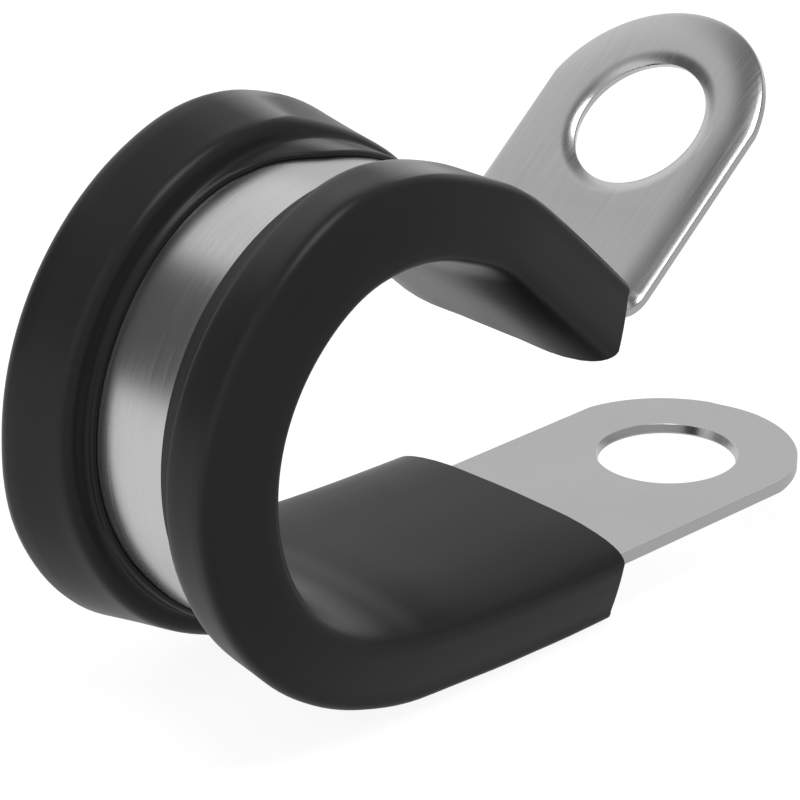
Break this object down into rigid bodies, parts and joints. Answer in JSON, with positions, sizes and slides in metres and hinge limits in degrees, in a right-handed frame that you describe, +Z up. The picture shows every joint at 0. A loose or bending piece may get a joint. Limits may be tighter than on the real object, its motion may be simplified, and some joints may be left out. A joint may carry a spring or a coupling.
{
  "type": "p clip",
  "caption": "Rubber-lined steel loop clip with bolt tabs, open at one side, that holds a pipe or a cable bundle.",
  "frame": {"origin": "on the axis of the loop, at the middle of the strip's width", "axes": "+X from the loop to the bolt tabs, +Y along the loop's axis to the back, +Z up, square to the lower tab"},
  "size_m": [0.0672, 0.0238, 0.04],
  "materials": {
    "zinc_steel": "satin",
    "black_rubber": "satin"
  },
  "bodies": {
    "root": {"steel_band": "zinc_steel", "rubber_liner": "black_rubber"}
  },
  "joints": []
}
